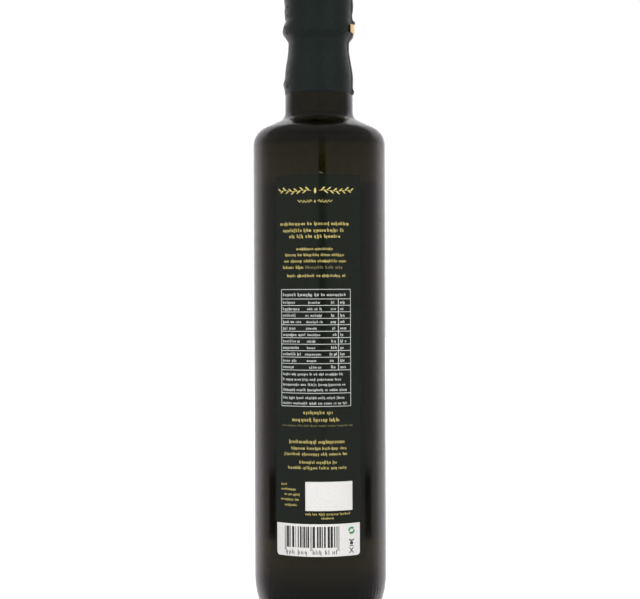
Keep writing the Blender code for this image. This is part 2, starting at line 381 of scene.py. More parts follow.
def ink_material(name, dark, light, roughness=0.35):
    """Printed ink, a little uneven in its cover."""
    material, tree, shader = shader_of(name)
    cover = object_noise(tree, *INK_COVER)
    coloured(tree, shader, cover, (dark, light))
    shader.inputs["IOR"].default_value = INK_INDEX
    roughened(tree, shader, cover, roughness + UNEVEN[0], roughness + UNEVEN[1])
    return material


# Meshes


def object_from(name, mesh, material, sharp=40):
    """An object from a bmesh, smooth-shaded, that rides with the bottle."""
    bmesh.ops.recalc_face_normals(mesh, faces=mesh.faces)
    data = bpy.data.meshes.new(name)
    mesh.to_mesh(data)
    mesh.free()
    data.shade_smooth()
    data.set_sharp_from_angle(angle=math.radians(sharp))
    data.materials.append(material)
    piece = bpy.data.objects.new(name, data)
    bpy.context.scene.collection.objects.link(piece)
    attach(piece, "root")
    return piece


def arc(centre, radii, start, end, steps):
    """Points of (radius, height) along an ellipse's arc, with its angles in degrees."""
    turns = [math.radians(start + (end - start) * step / steps) for step in range(steps + 1)]
    return [
        (centre[0] + radii[0] * math.cos(turn), centre[1] + radii[1] * math.sin(turn))
        for turn in turns
    ]


def turned(outline, steps):
    """A closed surface turned round Z from an outline that starts and ends on the axis."""
    mesh = bmesh.new()
    points = [mesh.verts.new((radius, 0.0, height)) for radius, height in outline]
    edges = [mesh.edges.new(pair) for pair in zip(points, points[1:])]
    bmesh.ops.spin(
        mesh,
        geom=points + edges,
        cent=(0.0, 0.0, 0.0),
        axis=(0.0, 0.0, 1.0),
        angle=math.tau,
        steps=steps,
        use_merge=True,
    )
    bmesh.ops.remove_doubles(mesh, verts=mesh.verts, dist=0.001 * MM)
    return mesh


def eased(share):
    """A smooth step from 0 to 1."""
    share = min(max(share, 0.0), 1.0)
    return share * share * (3.0 - 2.0 * share)


def film_radius(height):
    """The outer radius of the plain film, before its seam and puckers."""
    if height <= FILM_STATIONS[0][0]:
        return FILM_STATIONS[0][1]
    for (low, low_radius), (high, high_radius) in zip(FILM_STATIONS, FILM_STATIONS[1:]):
        if height <= high:
            share = eased((height - low) / (high - low))
            return low_radius + (high_radius - low_radius) * share
    return FILM_STATIONS[-1][1]


def turn_between(first, second):
    """The smallest angle between two directions, in degrees, with its sign."""
    return (first - second + 180) % 360 - 180


def seam_lift(angle):
    """The overlap of the film: a sharp step at its edge, and a slow fall behind it."""
    past = turn_between(angle, SEAM_EDGE)
    if past < 0 or past > SEAM_END - SEAM_EDGE:
        return 0.0
    return SEAM_LIFT * (1.0 - eased(past / (SEAM_END - SEAM_EDGE)))


def film_lift(angle, height):
    """How far the seam, the puckers and small creases lift the film off its plain shape."""
    lift = seam_lift(angle)
    for middle, level, half_width, half_height, most in PUCKERS:
        across = turn_between(angle, middle) / half_width
        along = (height - level) / half_height
        lift += most * math.exp(-across * across - along * along)
    turn = math.radians(angle)
    around = CREASE_PATCHES_AROUND
    place = Vector(
        (math.cos(turn) * around, math.sin(turn) * around, height / CREASE_PATCH_HEIGHT)
    )
    broad = noise.noise(place)
    fine = noise.noise(place * FINE_CREASE_SCALE + Vector(FINE_CREASE_OFFSET))
    lift += (BROAD_CREASE * broad + FINE_CREASE * fine) * MM
    return lift


def shoulder(wall, neck_wall, drop, steps):
    """The shoulder's arc and the fillet into the neck, each offset inwards by its wall, and
    the arc lowered by drop, as the glass is thicker there."""
    sweep = 90 - SHOULDER_SLOPE
    slope = math.radians(SHOULDER_SLOPE)
    arc_centre = (BODY_RADIUS - SHOULDER_RADIUS, SHOULDER_START)
    arc_end_radius = arc_centre[0] + SHOULDER_RADIUS * math.sin(slope)
    arc_end_height = SHOULDER_START + SHOULDER_RADIUS * math.cos(slope)
    fillet_radius = NECK_RADIUS + NECK_FILLET
    rise = (NECK_FILLET - (fillet_radius - arc_end_radius) * math.sin(slope)) / math.cos(slope)
    fillet_centre = (fillet_radius, arc_end_height + rise)
    arc_radius = SHOULDER_RADIUS - wall
    fillet = NECK_FILLET + neck_wall
    lowered = (arc_centre[0], arc_centre[1] - drop)
    return arc(lowered, (arc_radius, arc_radius), 0, sweep, steps) + arc(
        fillet_centre, (fillet, fillet), 180 + sweep, 180, steps
    )


def glass_outside():
    """The outer outline of the glass, from the middle of the punt up to the mouth."""
    punt = [
        (share * BEARING_INNER_RADIUS, PUNT_RISE * (1.0 - share * share))
        for share in [step / PUNT_STEPS for step in range(PUNT_STEPS)]
    ]
    bearing = [(BEARING_INNER_RADIUS, 0.0)]
    heel = arc(
        (BEARING_OUTER_RADIUS, HEEL_HEIGHT),
        (BODY_RADIUS - BEARING_OUTER_RADIUS, HEEL_HEIGHT),
        -90,
        0,
        HEEL_STEPS,
    )
    body = [
        (BODY_RADIUS, HEEL_HEIGHT + (SHOULDER_START - HEEL_HEIGHT) * row / BODY_ROWS)
        for row in range(1, BODY_ROWS)
    ]
    shoulder_and_fillet = shoulder(0.0, 0.0, 0.0, SHOULDER_STEPS)
    neck = [(NECK_RADIUS, NECK_END)]
    heights = [
        UNDER_FILM_START + (UNDER_FILM_END - UNDER_FILM_START) * row / UNDER_FILM_ROWS
        for row in range(UNDER_FILM_ROWS + 1)
    ]
    under_film = [
        (min(film_radius(height) - FILM_BACKING, RING_CORE_RADIUS), height)
        if height > RING_CORE_START
        else (film_radius(height) - FILM_BACKING, height)
        for height in heights
    ]
    finish = [
        (FINISH_RADIUS, FINISH_START),
        (FINISH_RADIUS, MOUTH_HEIGHT - MOUTH_ROUNDING),
        (FINISH_RADIUS - MOUTH_ROUNDING, MOUTH_HEIGHT),
    ]
    return punt + bearing + heel + body + shoulder_and_fillet + neck + under_film + finish


def glass_inside(gap):
    """The inside outline of the glass, from the middle of its floor up, drawn in by gap."""
    corner_radius = BODY_RADIUS - WALL - INNER_HEEL_WIDTH
    corner_height = INNER_FLOOR + INNER_HEEL_HEIGHT
    floor = [
        (share * corner_radius, INNER_FLOOR + gap + INNER_PUNT_RISE * (1.0 - share * share))
        for share in [step / INNER_FLOOR_STEPS for step in range(INNER_FLOOR_STEPS)]
    ]
    heel = arc(
        (corner_radius, corner_height),
        (INNER_HEEL_WIDTH - gap, INNER_HEEL_HEIGHT - gap),
        -90,
        0,
        INNER_HEEL_STEPS,
    )
    wall = shoulder(WALL + gap, NECK_WALL + gap, SHOULDER_THICKENING, INNER_SHOULDER_STEPS)
    bore = [
        (wall[-1][0], CAPSULE_BOTTOM),
        (BORE_RADIUS - gap, BORE_TAPER_TOP),
        (BORE_RADIUS - gap, MOUTH_HEIGHT - MOUTH_ROUNDING),
        (BORE_RADIUS - gap + MOUTH_ROUNDING, MOUTH_HEIGHT),
    ]
    return floor + heel + wall + bore


def below(outline, level):
    """The outline up to a level, closed across to the axis there, with a small meniscus."""
    kept = [outline[0]]
    for (low_radius, low), (high_radius, high) in zip(outline, outline[1:]):
        if high > level:
            share = (level - low) / (high - low)
            edge = low_radius + (high_radius - low_radius) * share
            break
        kept.append((high_radius, high))
    fall = MENISCUS_SLOPE * MENISCUS_WIDTH
    meniscus = [
        (edge - MENISCUS_WIDTH * share, level - fall * (1.0 - (1.0 - share) ** 2))
        for share in (0.0, 0.25, 0.5, 0.75, 1.0)
    ]
    return kept + meniscus + [(0.0, level - fall)]


def raise_heel_marks(mesh):
    """Small plain bumps on the outside of the heel, as the mould leaves them."""
    for point in mesh.verts:
        radius = math.hypot(point.co.x, point.co.y)
        along = (point.co.z - HEEL_MARK_HEIGHT) / HEEL_MARK_HALF_HEIGHT
        if abs(along) > HEEL_MARK_REACH or radius < BEARING_OUTER_RADIUS + WALL:
            continue
        angle = math.degrees(math.atan2(point.co.y, point.co.x))
        lift = 0.0
        for middle in HEEL_MARK_ANGLES:
            across = turn_between(angle, middle) / HEEL_MARK_HALF_WIDTH
            lift += HEEL_MARK_LIFT * math.exp(-across * across - along * along)
        point.co.x *= 1.0 + lift / radius
        point.co.y *= 1.0 + lift / radius


def build_glass():
    outline = glass_outside() + list(reversed(glass_inside(0.0)))
    mesh = turned(outline, GLASS_STEPS)
    raise_heel_marks(mesh)
    piece = object_from("glass", mesh, glass_material())
    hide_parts("glass_bottle")


def build_oil():
    outline = below(glass_inside(-OIL_INTO_WALL), OIL_LEVEL)
    piece = object_from("oil_fill", turned(outline, GLASS_STEPS), oil_material())
    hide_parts("oil")


def build_capsule():
    """The shrink film as a closed shell: its seam, its puckers and the lip over the closure."""
    straight = CAPSULE_TOP - CAPSULE_TOP_ROUNDING
    rows = round((straight - CAPSULE_BOTTOM) / FILM_ROW)
    heights = [
        CAPSULE_BOTTOM + (straight - CAPSULE_BOTTOM) * row / rows for row in range(rows + 1)
    ]
    lip_radius = HEAD_RADIUS - LID_LIP_WIDTH
    roof = CAPSULE_TOP - LID_LIP_RISE
    inside = [(film_radius(height) - FILM, height) for height in heights[::3]]
    inside_roof = [(lip_radius, roof - FILM), (0.0, roof - FILM)]
    outside = [(film_radius(height), height) for height in heights]
    rim = arc(
        (HEAD_RADIUS - CAPSULE_TOP_ROUNDING, straight),
        (CAPSULE_TOP_ROUNDING, CAPSULE_TOP_ROUNDING),
        RIM_START,
        90,
        RIM_STEPS,
    )
    lid = [
        (lip_radius + LID_LIP_SLOPE, CAPSULE_TOP),
        (lip_radius, roof + LID_LIP_SOFTENING),
        (lip_radius - LID_LIP_FOOT, roof),
        (lip_radius / 2, roof),
        (0.0, roof),
    ]
    mesh = turned(list(reversed(inside + inside_roof)) + outside + rim + lid, FILM_STEPS)
    for point in mesh.verts:
        radius = math.hypot(point.co.x, point.co.y)
        if radius > film_radius(point.co.z) - 1.5 * FILM and point.co.z <= straight + MM / 10:
            angle = math.degrees(math.atan2(point.co.y, point.co.x))
            lift = film_lift(angle, point.co.z)
            if radius < film_radius(point.co.z) - FILM / 2:
                lift = min(lift, 0.0)
            scale = 1.0 + lift / radius
            point.co.x *= scale
            point.co.y *= scale
    piece = object_from("shrink_capsule", mesh, film_material(), 60)
    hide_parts("capsule")


def curved_plate(name, angle, width, span, inner_radius, thickness, corner, material):
    """A plate with rounded corners, bent round the Z axis, its middle at angle in degrees."""
    low, high = span
    corner_steps = [corner * (1.0 - math.cos(math.radians(turn))) for turn in range(0, 91, 15)]
    count = max(2, round((width - 2 * corner) / COLUMN))
    middle = [corner + (width - 2 * corner) * step / count for step in range(1, count)]
    places = corner_steps + middle + [width - step for step in reversed(corner_steps)]
    mesh = bmesh.new()
    columns = []
    for place in places:
        inward = max(corner - min(place, width - place), 0.0)
        trim = corner - math.sqrt(corner * corner - inward * inward)
        turn = math.radians(angle) + (place - width / 2) / (inner_radius + thickness)
        columns.append(
            [
                mesh.verts.new((radius * math.cos(turn), radius * math.sin(turn), height))
                for radius, height in (
                    (inner_radius, low + trim),
                    (inner_radius, high - trim),
                    (inner_radius + thickness, high - trim),
                    (inner_radius + thickness, low + trim),
                )
            ]
        )
    mesh.faces.new(columns[0])
    mesh.faces.new(columns[-1])
    for left, right in zip(columns, columns[1:]):
        for index in range(4):
            after = (index + 1) % 4
            mesh.faces.new((left[index], left[after], right[after], right[index]))
    return object_from(name, mesh, material)


def build_tab():
    piece = curved_plate(
        "gold_tab",
        TAB_ANGLE,
        TAB_WIDTH,
        (TAB_BOTTOM, TAB_TOP),
        TAB_RADIUS,
        TAB_THICKNESS,
        TAB_CORNER,
        gold_material("gold_tape", 0.3),
    )
    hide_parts("tear_tab")


# Print on the labels


class Print:
    """Thin shapes of one ink on a label. Across is measured from the label's middle, to the
    right as one faces it, and up from the surface that the bottle stands on, in millimetres."""

    def __init__(self, label_angle, level=1):
        self.mesh = bmesh.new()
        self.turn = math.radians(label_angle)
        self.inner = LABEL_RADIUS - INK / 2
        self.outer = LABEL_RADIUS + INK * level

    def point(self, across, up, radius):
        turn = self.turn + across * MM / LABEL_RADIUS
        return self.mesh.verts.new((radius * math.cos(turn), radius * math.sin(turn), up * MM))

    def strip(self, lefts, rights):
        """A closed thin strip between two equally long rows of (across, up)."""
        widest = max(abs(place[0] - other[0]) for place, other in zip(lefts, rights))
        count = max(1, math.ceil(widest / STRIP_COLUMN))
        rows = []
        for place, other in zip(lefts, rights):
            between = [
                tuple(a + (b - a) * step / count for a, b in zip(place, other))
                for step in range(count + 1)
            ]
            rows.append(
                [self.point(*spot, self.inner) for spot in between]
                + [self.point(*spot, self.outer) for spot in reversed(between)]
            )
        self.mesh.faces.new(rows[0])
        self.mesh.faces.new(rows[-1])
        corners = len(rows[0])
        for near, far in zip(rows, rows[1:]):
            for index in range(corners):
                after = (index + 1) % corners
                self.mesh.faces.new((near[index], near[after], far[after], far[index]))

    def box(self, left, right, low, high):
        """A rectangle, in columns so that it follows the curve."""
        count = max(1, math.ceil((right - left) / BOX_COLUMN))
        places = [left + (right - left) * step / count for step in range(count + 1)]
        self.strip([(place, low) for place in places], [(place, high) for place in places])

    def ring(self, across, up, outer, inner, start=0, end=360, steps=28):
        turns = [math.radians(start + (end - start) * step / steps) for step in range(steps + 1)]
        if end - start == 360:
            turns[-1] -= RING_OPENING
        self.strip(
            [(across + outer * math.cos(t), up + outer * math.sin(t)) for t in turns],
            [(across + inner * math.cos(t), up + inner * math.sin(t)) for t in turns],
        )

    def leaf(self, across, up, length, width, angle, steps=10):
        """A pointed leaf from its stalk, at (across, up), along angle in degrees."""
        turn = math.radians(angle)
        along = (math.cos(turn), math.sin(turn))
        side = (-along[1], along[0])
        sides = ([], [])
        for step in range(steps + 1):
            share = LEAF_START + LEAF_SHARE * step / steps
            half = width / 2 * math.sin(math.pi * share) ** LEAF_FULLNESS
            half *= LEAF_BASE - LEAF_TAPER * share
            for row, sign in zip(sides, (-1, 1)):
                row.append(
                    (
                        across + along[0] * length * share + sign * side[0] * half,
                        up + along[1] * length * share + sign * side[1] * half,
                    )
                )
        self.strip(*sides)

    def words(self, left, right, base, size, draw, longest=9):
        """A row of fine ticks in groups, in the place of a line of text."""
        tick = size * TICK_WIDTH
        across = left
        while across < right - size:
            for _ in range(draw.randint(2, longest)):
                ticks = draw.choice(TICK_COUNTS)
                step = tick * draw.uniform(*TICK_STEP)
                for index in range(ticks):
                    if across + tick > right:
                        break
                    tall = size * draw.choice(NEXT_TICK_HEIGHTS if index else FIRST_TICK_HEIGHTS)
                    drop = size * draw.choice(TICK_DROPS)
                    self.box(across, across + tick, base - drop, base + tall)
                    across += step
                across += size * draw.uniform(*LETTER_GAP)
            across += size * WORD_GAP

    def finish(self, name, material, slot):
        piece = object_from(name, self.mesh, material)
        return piece


# Back label: rows of ticks as (left, right, base, size), and the other places, in millimetres
GOLD_ROWS = (
    (-18.0, 15.3, 181.5, 1.35),
    (-16.4, 13.2, 178.5, 1.35),
    (-13.3, 10.8, 175.8, 1.35),
    (-9.8, 7.1, 170.3, 1.05),
    (-15.4, 12.7, 167.6, 1.10),
    (-15.9, 13.2, 164.8, 1.15),
    (-16.5, -6.5, 161.9, 1.25),
    (-14.4, 12.7, 158.2, 1.15),
    (-6.8, 6.8, 96.5, 1.40),
    (-12.1, 11.5, 93.2, 1.45),
    (-13.6, 13.4, 83.3, 1.45),
    (-12.6, 12.9, 80.5, 1.20),
    (-16.2, 13.4, 77.9, 1.20),
    (-8.7, 9.5, 74.2, 1.20),
    (-14.2, 14.4, 71.7, 1.20),
    (-17.9, -14.6, 64.2, 0.95),
    (-18.0, -9.0, 62.0, 0.95),
    (-16.2, -8.6, 59.7, 0.95),
    (-18.0, -8.4, 57.4, 0.95),
    (-16.0, -10.0, 54.9, 0.95),
    (-6.0, 14.8, 51.0, 0.95),
    (1.2, 7.1, 49.2, 0.85),
)
DIM_ROWS = (
    (-5.6, 11.7, 161.9, 1.25),
    (-17.3, 16.0, 90.9, 0.75),
)

TABLE_LEFT = -17.5
TABLE_RIGHT = 15.2
TABLE_TOP = 152.6
TABLE_HEADER = 4.3
TABLE_ROW = 2.91
TABLE_ROWS = 11
TABLE_NOTES = 10.4
TABLE_FOOT = 5.9
TABLE_LINE = 0.22
TABLE_DIVIDER = 9.3
TABLE_MARGIN = 0.8
HEADER_BASE = 1.3
HEADER_END = 0.5
HEADER_START = 1.5
HEADER_SIZES = (1.25, 1.15)
ROW_BASE = 0.8
ROW_SIZE = 1.1
FIRST_END = (-11.0, -5.5)
SECOND_START = (-6.0, -4.0)
SECOND_END = (0.0, 2.5)
SECOND_SIZE = 0.95
THIRD_START = (5.2, 6.8)
THIRD_END = 8.6
LAST_START = 10.2
LAST_END = (11.8, 13.6)
NOTE_BASE = 1.0
NOTE_LINES = 4
NOTE_STEP = 2.35
NOTE_SHORTER = (TABLE_MARGIN, 4.0)
NOTE_SIZE = 1.0
FOOT_BASE = 0.9
FOOT_LINES = 2
FOOT_STEP = 2.4
FOOT_SHORTER = (TABLE_MARGIN, 5.0)

BOX_LEFT = -6.0
BOX_RIGHT = 15.85
BOX_LOW = 52.9
BOX_HIGH = 66.0

PATCH_LOW = 32.3
PATCH_HIGH = 46.95
PATCH_HALF = 20.1
PATCH_MIDDLE = -0.3
PATCH_CORNER = 1.5
PATCH_COLUMNS = 20
BARS_LEFT = -16.1
BARS_RIGHT = 9.4
BARS_LOW = 36.3
BARS_HIGH = 45.8
GUARD_LOW = 34.8

# The bars, in modules from the left, with the share of its modules that each one fills
BAR_MODULES = 95
GUARDS = (0, 2, 46, 48, 92, 94)
GUARD_FILL = 0.9
BAR_FIELDS = ((4, 45), (50, 91))
BAR_WIDTHS = (1, 2, 2, 3, 4)
BAR_GAPS = (1, 1, 2, 2, 3)
BAR_FILL = 0.95
UNDER_BARS = ((0.6, 12.0), (13.4, 24.4))
UNDER_BARS_BASE = 33.3
UNDER_BARS_SIZE = 1.8

# The marks beside the bars: an open ring, an arc over a dot and a line, and a small cross
MARK_MIDDLE = 15.35
OPEN_RING_UP = 43.7
OPEN_RING_OUTER = 1.65
OPEN_RING_INNER = 0.75
OPEN_RING_PARTS = ((35, 190), (215, 370))
ARC_UP = 40.6
ARC_OUTER = 1.7
ARC_INNER = 1.15
ARC_SPAN = (215, 325)
DOT_UP = 38.0
DOT_RADIUS = 0.8
DOT_CORE = 0.1
LINE_HALF = 1.05
LINE_LOW = 36.55
LINE_HIGH = 36.9
CROSS_LOW = 33.5
CROSS_HIGH = 36.0
CROSS_WIDE = 1.2
CROSS_NARROW = 0.7

# A garland's bud, stem, leaves and fruit, as shares of its size
BUD_LENGTH = 0.68
BUD_WIDTH = 0.26
BUD_ROOM = 0.5
STEM_START = 0.45
STEM_WAVE = 0.07
STEM_WAVES = 1.5
STEM_HALF = 0.02
LEAF_ROOM = 0.36
LEAF_LENGTH = 0.66
LEAF_SHORTENING = 0.16
LEAF_WIDTH = 0.125
LEAF_SPREAD = 36
FRUIT_OFF = 0.26
FRUIT_RADIUS = 0.1
FRUIT_CORE = 0.01

# The garlands, as (across, up, half their width, size)
BACK_GARLANDS = ((-1.1, 197.0, 17.2, 4.0), (-1.2, 192.2, 7.6, 2.0))
MIDDLE_GARLAND = (0.0, 98.0, 21.0, 5.0)
LOW_GARLAND = (0.0, 58.0, 14.0, 3.6)
HIGH_GARLAND = (0.0, 184.0, 16.0, 4.0)

# Front label: a frame, a branch between two garlands, rows of ticks and a small garland
FRAME_MARGIN = 3.0
FRAME_LINES = ((0.0, 0.5), (1.3, 0.2))
BRANCH_LOW = 112.0
BRANCH_HIGH = 168.0
BRANCH_STEPS = 16
BRANCH_SWAY = 5.0
BRANCH_SHIFT = 2.0
BRANCH_HALF = 0.35
BRANCH_PAIRS = 9
PAIR_START = 0.6
PAIR_ASIDE = 0.8
PAIR_STAGGER = 0.4
PAIR_LENGTH = 17.0
PAIR_SHORTENING = 0.9
PAIR_WIDTH = 4.0
PAIR_SPREAD = 52
PAIR_CLOSING = 2
OLIVE_ASIDE = 4.6
OLIVE_DROP = 3.6
OLIVE_RADIUS = 1.9
OLIVE_CORE = 0.12
FRONT_ROWS = ((86.0, 2.6, 19.0), (80.5, 1.7, 15.0), (76.5, 1.7, 17.0))
LAST_ROW = (-9.0, 9.0, 46.0, 2.2)


def garland(ink, across, up, half, size):
    """A slim branch with leaves and small fruit to each side of a bud: a plain ornament."""
    ink.leaf(across, up - size * BUD_LENGTH / 2, size * BUD_LENGTH, size * BUD_WIDTH, 90)
    count = max(3, round((half - size * BUD_ROOM) / (size * LEAF_ROOM)))
    for sign in (-1, 1):
        start = across + sign * size * STEM_START
        end = across + sign * half
        shares = [step / (2 * count) for step in range(2 * count + 1)]
        wave = size * STEM_WAVE
        stem = [
            (
                start + (end - start) * share,
                up + wave * math.sin(share * math.tau * STEM_WAVES),
            )
            for share in shares
        ]
        thick = size * STEM_HALF
        ink.strip(
            [(place, level - thick) for place, level in stem],
            [(place, level + thick) for place, level in stem],
        )
        outward = 0 if sign > 0 else 180
        for step in range(1, 2 * count, 2):
            side = 1 if step % 4 == 1 else -1
            place, level = stem[step]
            length = size * (LEAF_LENGTH - LEAF_SHORTENING * shares[step])
            turn = outward + sign * side * LEAF_SPREAD
            ink.leaf(place, level, length, size * LEAF_WIDTH, turn)
            if step % 8 == 3:
                fruit_level = level - side * size * FRUIT_OFF
                ink.ring(place, fruit_level, size * FRUIT_RADIUS, size * FRUIT_CORE, steps=14)


def print_rows(name, material, seed, garlands, rows):
    """Garlands and rows of ticks on the back label."""
    ink = Print(BACK_LABEL_ANGLE)
    draw = random.Random(seed)
    for places in garlands:
        garland(ink, *places)
    for row in rows:
        ink.words(*row, draw)
    ink.finish(name, material, "back_label")


def table_levels():
    rows_top = TABLE_TOP - TABLE_HEADER
    levels = [TABLE_TOP] + [rows_top - TABLE_ROW * row for row in range(TABLE_ROWS + 1)]
    levels.append(levels[-1] - TABLE_NOTES)
    levels.append(levels[-1] - TABLE_FOOT)
    return levels


def print_white(material):
    """The table's lines and its rows of ticks."""
    ink = Print(BACK_LABEL_ANGLE)
    draw = random.Random(13)
    levels = table_levels()
    half = TABLE_LINE / 2
    for level in levels:
        ink.box(TABLE_LEFT, TABLE_RIGHT, level - half, level + half)
    for side in (TABLE_LEFT, TABLE_RIGHT):
        ink.box(side - half, side + half, levels[-1], levels[0])
    ink.box(TABLE_DIVIDER - half, TABLE_DIVIDER + half, levels[TABLE_ROWS + 1], levels[1])
    left = TABLE_LEFT + TABLE_MARGIN
    base = levels[1] + HEADER_BASE
    ink.words(left, HEADER_END, base, HEADER_SIZES[0], draw)
    ink.words(HEADER_START, TABLE_RIGHT - TABLE_MARGIN, base, HEADER_SIZES[1], draw)
    for row in range(TABLE_ROWS):
        base = levels[row + 2] + ROW_BASE
        ink.words(left, draw.uniform(*FIRST_END), base, ROW_SIZE, draw)
        ink.words(draw.uniform(*SECOND_START), draw.uniform(*SECOND_END), base, SECOND_SIZE, draw)
        ink.words(draw.uniform(*THIRD_START), THIRD_END, base, ROW_SIZE, draw, 3)
        ink.words(LAST_START, draw.uniform(*LAST_END), base, ROW_SIZE, draw, 3)
    for line in range(NOTE_LINES):
        base = levels[-2] + NOTE_BASE + line * NOTE_STEP
        ink.words(left, TABLE_RIGHT - draw.uniform(*NOTE_SHORTER), base, NOTE_SIZE, draw)
    for line in range(FOOT_LINES):
        base = levels[-1] + FOOT_BASE + line * FOOT_STEP
        ink.words(left, TABLE_RIGHT - draw.uniform(*FOOT_SHORTER), base, NOTE_SIZE, draw)
    ink.finish("back_print_white", material, "back_label")


def print_panels(material):
    """The white box for dates, and the white patch under the bars with its two low corners
    rounded."""
    ink = Print(BACK_LABEL_ANGLE)
    ink.box(BOX_LEFT, BOX_RIGHT, BOX_LOW, BOX_HIGH)
    turns = [math.radians(15 * step) for step in range(7)]
    ends = [PATCH_CORNER * (1.0 - math.cos(turn)) for turn in turns]
    trims = [PATCH_CORNER * (1.0 - math.sin(turn)) for turn in turns]
    flat = 2 * (PATCH_HALF - PATCH_CORNER)
    middle = [
        -PATCH_HALF + PATCH_CORNER + flat * step / PATCH_COLUMNS
        for step in range(1, PATCH_COLUMNS)
    ]
    places = [-PATCH_HALF + end for end in ends] + middle + [PATCH_HALF - e for e in ends[::-1]]
    places = [PATCH_MIDDLE + place for place in places]
    lows = trims + [0.0] * len(middle) + trims[::-1]
    ink.strip(
        [(place, PATCH_LOW + trim) for place, trim in zip(places, lows)],
        [(place, PATCH_HIGH) for place in places],
    )
    ink.finish("back_print_panels", material, "back_label")


def print_bars(material):
    """Plain bars of uneven width, which hold no number, with ticks under them, and the dark
    marks beside them."""
    ink = Print(BACK_LABEL_ANGLE, 2)
    draw = random.Random(29)
    module = (BARS_RIGHT - BARS_LEFT) / BAR_MODULES
    for guard in GUARDS:
        left = BARS_LEFT + guard * module
        ink.box(left, left + module * GUARD_FILL, GUARD_LOW, BARS_HIGH)
    for first, last in BAR_FIELDS:
        place = first
        while place < last:
            wide = min(draw.choice(BAR_WIDTHS), last - place)
            left = BARS_LEFT + place * module
            ink.box(left, left + wide * module * BAR_FILL, BARS_LOW, BARS_HIGH)
            place += wide + draw.choice(BAR_GAPS)
    for first, last in UNDER_BARS:
        ink.words(BARS_LEFT + first, BARS_LEFT + last, UNDER_BARS_BASE, UNDER_BARS_SIZE, draw, 4)
    ink.ring(MARK_MIDDLE, ARC_UP, ARC_OUTER, ARC_INNER, *ARC_SPAN)
    ink.ring(MARK_MIDDLE, DOT_UP, DOT_RADIUS, DOT_CORE)
    ink.box(MARK_MIDDLE - LINE_HALF, MARK_MIDDLE + LINE_HALF, LINE_LOW, LINE_HIGH)
    for slant in (-1, 1):
        wide, narrow = slant * CROSS_WIDE, slant * CROSS_NARROW
        ink.strip(
            [(MARK_MIDDLE - wide, CROSS_LOW), (MARK_MIDDLE + narrow, CROSS_HIGH)],
            [(MARK_MIDDLE - narrow, CROSS_LOW), (MARK_MIDDLE + wide, CROSS_HIGH)],
        )
    ink.finish("back_print_bars", material, "back_label")


def print_green(material):
    """An open ring in two parts."""
    ink = Print(BACK_LABEL_ANGLE, 2)
    for part in OPEN_RING_PARTS:
        ink.ring(MARK_MIDDLE, OPEN_RING_UP, OPEN_RING_OUTER, OPEN_RING_INNER, *part)
    ink.finish("back_print_green", material, "back_label")


def print_front(material):
    """The hidden side's label: a frame, a branch, garlands and rows of ticks, in a plain design
    of its own."""
    ink = Print(FRONT_LABEL_ANGLE)
    draw = random.Random(31)
    half = FRONT_LABEL_WIDTH / MM / 2 - FRAME_MARGIN
    low = LABEL_BOTTOM / MM + FRAME_MARGIN
    high = LABEL_TOP / MM - FRAME_MARGIN
    for inset, line in FRAME_LINES:
        left, right = -half + inset, half - inset
        bottom, top = low + inset, high - inset
        ink.box(left, right, bottom, bottom + line)
        ink.box(left, right, top - line, top)
        ink.box(left, left + line, bottom + line, top - line)
        ink.box(right - line, right, bottom + line, top - line)
    length = BRANCH_HIGH - BRANCH_LOW
    stem = []
    for step in range(BRANCH_STEPS + 1):
        across = BRANCH_SWAY * math.sin(math.pi * step / BRANCH_STEPS) - BRANCH_SHIFT
        stem.append((across, BRANCH_LOW + length * step / BRANCH_STEPS))
    ink.strip(
        [(across - BRANCH_HALF, up) for across, up in stem],
        [(across + BRANCH_HALF, up) for across, up in stem],
    )
    for step in range(BRANCH_PAIRS):
        up = BRANCH_LOW + length / BRANCH_PAIRS * (step + PAIR_START)
        across = BRANCH_SWAY * math.sin(math.pi * (up - BRANCH_LOW) / length) - BRANCH_SHIFT
        reach = PAIR_LENGTH - PAIR_SHORTENING * step
        spread = PAIR_SPREAD - PAIR_CLOSING * step
        ink.leaf(across + PAIR_ASIDE, up + PAIR_STAGGER, reach, PAIR_WIDTH, spread)
        ink.leaf(across - PAIR_ASIDE, up - PAIR_STAGGER, reach, PAIR_WIDTH, 180 - spread)
        if step % 3 == 1:
            for sign in (-1, 1):
                ink.ring(across + sign * OLIVE_ASIDE, up - OLIVE_DROP, OLIVE_RADIUS, OLIVE_CORE)
    garland(ink, *MIDDLE_GARLAND)
    for base, size, reach in FRONT_ROWS:
        ink.words(-reach, reach, base, size, draw)
    garland(ink, *LOW_GARLAND)
    ink.words(*LAST_ROW, draw)
    garland(ink, *HIGH_GARLAND)
    ink.finish("front_print_gold", material, "front_label")


